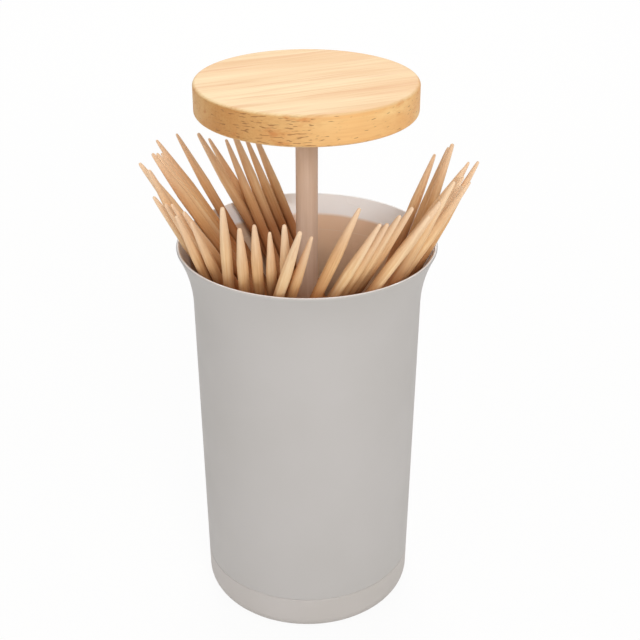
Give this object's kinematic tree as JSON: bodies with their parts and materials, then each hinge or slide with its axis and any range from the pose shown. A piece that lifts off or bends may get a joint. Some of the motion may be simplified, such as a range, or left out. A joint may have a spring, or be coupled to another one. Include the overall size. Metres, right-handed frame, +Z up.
{
  "type": "toothpick holder",
  "caption": "Flared toothpick cup with a wooden lid on a stem; pulling the lid up lifts a tray and fans the toothpicks out over the lip.",
  "frame": {"origin": "centre of the base's underside, on the table", "axes": "+Z up along the stem, the view in the picture is from -Y, +X to its right"},
  "size_m": [0.0607, 0.0568, 0.1055],
  "materials": {
    "cup_plastic": "satin",
    "cap_plastic": "satin",
    "tray_plastic": "satin",
    "ring_silicone": "matte",
    "stem_plastic": "satin",
    "screw_steel": "satin",
    "lid_wood": "satin",
    "pick_wood": "matte"
  },
  "bodies": {
    "holder": {"cup": "cup_plastic", "base_cap": "cap_plastic"},
    "ring": {"friction_ring": "ring_silicone"},
    "lifter": {"tray": "tray_plastic", "stem": "stem_plastic", "tray_screw": "screw_steel", "lid": "lid_wood"},
    "row_east": {"picks_east": "pick_wood"},
    "row_east_back": {"picks_east_back": "pick_wood"},
    "row_northeast": {"picks_northeast": "pick_wood"},
    "row_northwest": {"picks_northwest": "pick_wood"},
    "row_west_back": {"picks_west_back": "pick_wood"},
    "row_west": {"picks_west": "pick_wood"},
    "row_west_front": {"picks_west_front": "pick_wood"},
    "row_southwest": {"picks_southwest": "pick_wood"},
    "row_south_left": {"picks_south_left": "pick_wood"},
    "row_south": {"picks_south": "pick_wood"},
    "row_south_right": {"picks_south_right": "pick_wood"},
    "row_southeast": {"picks_southeast": "pick_wood"},
    "row_east_front": {"picks_east_front": "pick_wood"},
    "single_east": {"pick_at_east": "pick_wood"},
    "single_southeast": {"pick_at_southeast": "pick_wood"},
    "single_south": {"pick_at_south": "pick_wood"},
    "single_southwest": {"pick_at_southwest": "pick_wood"},
    "single_west": {"pick_at_west": "pick_wood"},
    "single_northwest": {"pick_at_northwest": "pick_wood"}
  },
  "joints": [
    {"name": "lift", "type": "slide", "parent": "holder", "child": "ring", "axis": [0, 0, 1], "range_m": [-0.0285, 0]},
    {"name": "spin", "type": "hinge", "parent": "ring", "child": "lifter", "pos_m": [0, 0, 0.032], "axis": [0, 0, 1], "continuous": true},
    {"name": "lean_east", "type": "hinge", "parent": "lifter", "child": "row_east", "pos_m": [-0.00864, 0, 0.0322], "axis": [0, 1, 0], "range_deg": [-19, 0]},
    {"name": "lean_east_back", "type": "hinge", "parent": "lifter", "child": "row_east_back", "pos_m": [-0.00798, -0.00331, 0.0322], "axis": [-0.3827, 0.9239, 0], "range_deg": [-19, 0]},
    {"name": "lean_northeast", "type": "hinge", "parent": "lifter", "child": "row_northeast", "pos_m": [-0.00611, -0.00611, 0.0322], "axis": [-0.7071, 0.7071, 0], "range_deg": [-19, 0]},
    {"name": "lean_northwest", "type": "hinge", "parent": "lifter", "child": "row_northwest", "pos_m": [0.00611, -0.00611, 0.0322], "axis": [-0.7071, -0.7071, 0], "range_deg": [-19, 0]},
    {"name": "lean_west_back", "type": "hinge", "parent": "lifter", "child": "row_west_back", "pos_m": [0.00798, -0.00331, 0.0322], "axis": [-0.3827, -0.9239, 0], "range_deg": [-19, 0]},
    {"name": "lean_west", "type": "hinge", "parent": "lifter", "child": "row_west", "pos_m": [0.00864, 0, 0.0322], "axis": [0, -1, 0], "range_deg": [-19, 0]},
    {"name": "lean_west_front", "type": "hinge", "parent": "lifter", "child": "row_west_front", "pos_m": [0.00798, 0.00331, 0.0322], "axis": [0.3827, -0.9239, 0], "range_deg": [-19, 0]},
    {"name": "lean_southwest", "type": "hinge", "parent": "lifter", "child": "row_southwest", "pos_m": [0.00611, 0.00611, 0.0322], "axis": [0.7071, -0.7071, 0], "range_deg": [-19, 0]},
    {"name": "lean_south_left", "type": "hinge", "parent": "lifter", "child": "row_south_left", "pos_m": [0.00331, 0.00798, 0.0322], "axis": [0.9239, -0.3827, 0], "range_deg": [-19, 0]},
    {"name": "lean_south", "type": "hinge", "parent": "lifter", "child": "row_south", "pos_m": [0, 0.00864, 0.0322], "axis": [1, 0, 0], "range_deg": [-19, 0]},
    {"name": "lean_south_right", "type": "hinge", "parent": "lifter", "child": "row_south_right", "pos_m": [-0.00331, 0.00798, 0.0322], "axis": [0.9239, 0.3827, 0], "range_deg": [-19, 0]},
    {"name": "lean_southeast", "type": "hinge", "parent": "lifter", "child": "row_southeast", "pos_m": [-0.00611, 0.00611, 0.0322], "axis": [0.7071, 0.7071, 0], "range_deg": [-19, 0]},
    {"name": "lean_east_front", "type": "hinge", "parent": "lifter", "child": "row_east_front", "pos_m": [-0.00798, 0.00331, 0.0322], "axis": [0.3827, 0.9239, 0], "range_deg": [-19, 0]},
    {"name": "tilt_east", "type": "hinge", "parent": "lifter", "child": "single_east", "pos_m": [-0.0039, -0.0039, 0.0322], "axis": [-0.7071, 0.7071, 0], "range_deg": [-15.81, 0]},
    {"name": "tilt_southeast", "type": "hinge", "parent": "lifter", "child": "single_southeast", "pos_m": [-0.00552, 0, 0.0322], "axis": [0, 1, 0], "range_deg": [-15.81, 0]},
    {"name": "tilt_south", "type": "hinge", "parent": "lifter", "child": "single_south", "pos_m": [-0.0039, 0.0039, 0.0322], "axis": [0.7071, 0.7071, 0], "range_deg": [-15.81, 0]},
    {"name": "tilt_southwest", "type": "hinge", "parent": "lifter", "child": "single_southwest", "pos_m": [0, 0.00552, 0.0322], "axis": [1, 0, 0], "range_deg": [-15.81, 0]},
    {"name": "tilt_west", "type": "hinge", "parent": "lifter", "child": "single_west", "pos_m": [0.0039, 0.0039, 0.0322], "axis": [0.7071, -0.7071, 0], "range_deg": [-15.81, 0]},
    {"name": "tilt_northwest", "type": "hinge", "parent": "lifter", "child": "single_northwest", "pos_m": [0.00552, 0, 0.0322], "axis": [0, -1, 0], "range_deg": [-15.81, 0]}
  ],
  "couplings": [
    {"joint": "lean_east", "follows": "lift", "rad_per_m": 11.636},
    {"joint": "lean_east_back", "follows": "lift", "rad_per_m": 11.636},
    {"joint": "lean_northeast", "follows": "lift", "rad_per_m": 11.636},
    {"joint": "lean_northwest", "follows": "lift", "rad_per_m": 11.636},
    {"joint": "lean_west_back", "follows": "lift", "rad_per_m": 11.636},
    {"joint": "lean_west", "follows": "lift", "rad_per_m": 11.636},
    {"joint": "lean_west_front", "follows": "lift", "rad_per_m": 11.636},
    {"joint": "lean_southwest", "follows": "lift", "rad_per_m": 11.636},
    {"joint": "lean_south_left", "follows": "lift", "rad_per_m": 11.636},
    {"joint": "lean_south", "follows": "lift", "rad_per_m": 11.636},
    {"joint": "lean_south_right", "follows": "lift", "rad_per_m": 11.636},
    {"joint": "lean_southeast", "follows": "lift", "rad_per_m": 11.636},
    {"joint": "lean_east_front", "follows": "lift", "rad_per_m": 11.636},
    {"joint": "tilt_east", "follows": "lift", "rad_per_m": 9.682},
    {"joint": "tilt_southeast", "follows": "lift", "rad_per_m": 9.682},
    {"joint": "tilt_south", "follows": "lift", "rad_per_m": 9.682},
    {"joint": "tilt_southwest", "follows": "lift", "rad_per_m": 9.682},
    {"joint": "tilt_west", "follows": "lift", "rad_per_m": 9.682},
    {"joint": "tilt_northwest", "follows": "lift", "rad_per_m": 9.682}
  ]
}
